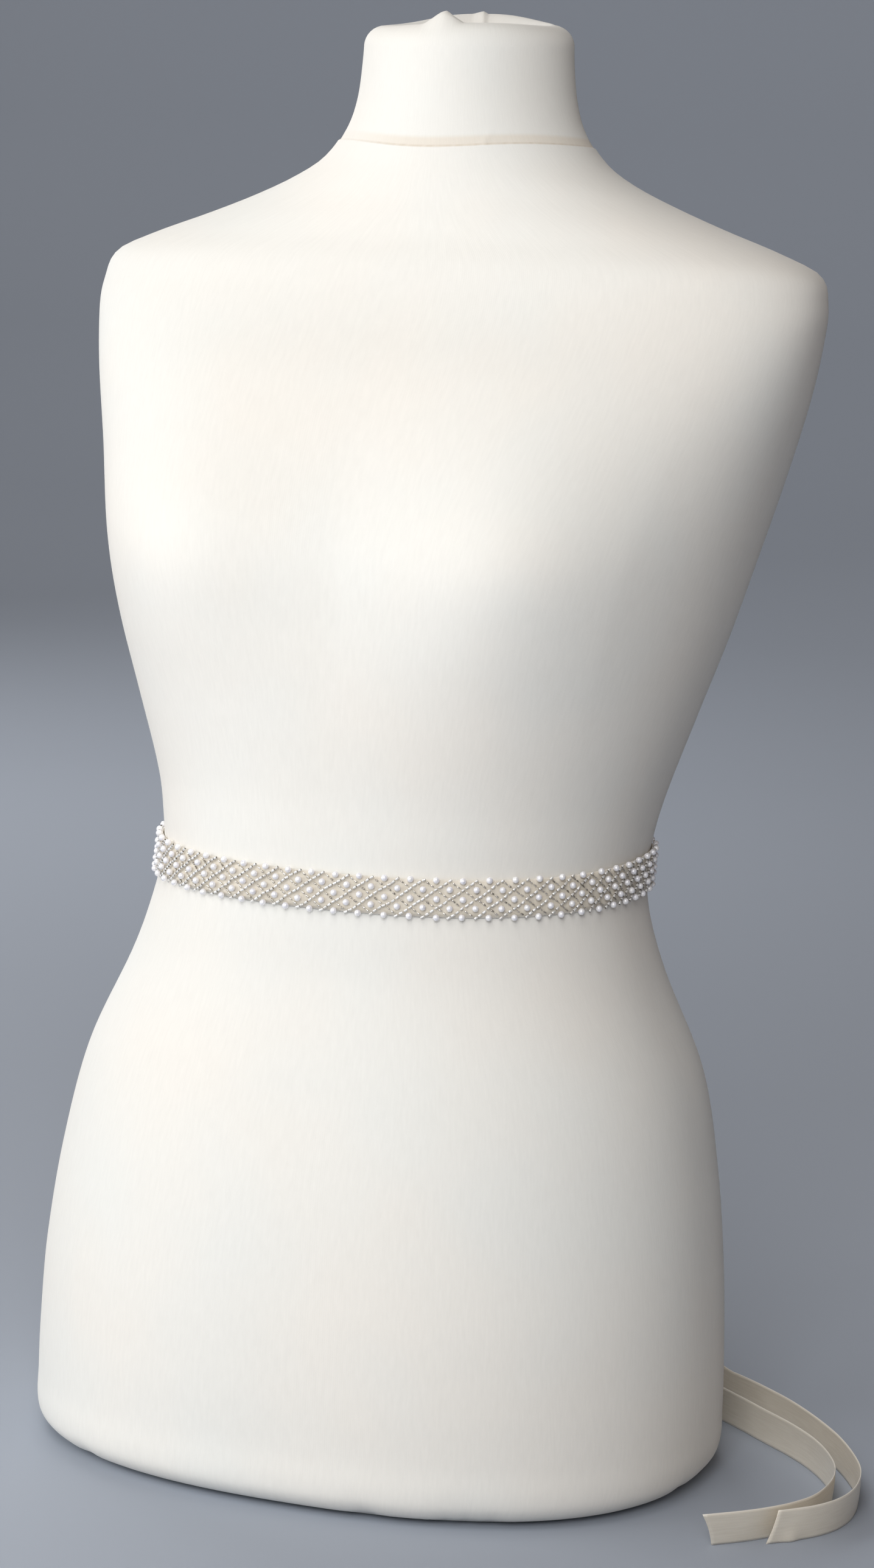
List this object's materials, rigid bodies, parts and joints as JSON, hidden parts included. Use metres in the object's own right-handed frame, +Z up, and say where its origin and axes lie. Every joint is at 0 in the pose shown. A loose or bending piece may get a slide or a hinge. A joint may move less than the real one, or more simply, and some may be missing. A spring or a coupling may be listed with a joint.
{
  "type": "bridal sash on dress form",
  "caption": "Satin ribbon sash with a beaded pearl lattice strip, knotted at the back of a jersey covered dress form, its two tails on the table.",
  "frame": {"origin": "middle of the dress form's flat base, on the table", "axes": "+Z up through the neck, -Y the way the chest and the beading face, +X the form's left side, where the ribbon's tails come round"},
  "size_m": [0.4493, 0.2985, 0.7224],
  "materials": {
    "jersey": "ivory cotton jersey, matt",
    "satin": "ivory satin ribbon, soft sheen",
    "beadwork": "white pearls and silver lined glass beads"
  },
  "bodies": {
    "root": {"dress_form": "jersey", "ribbon_front": "satin", "ribbon_back_left": "satin", "ribbon_back_right": "satin", "beaded_strip": "beadwork", "ribbon_knot": "satin", "ribbon_tail_inner": "satin", "ribbon_tail_outer": "satin"}
  },
  "joints": []
}
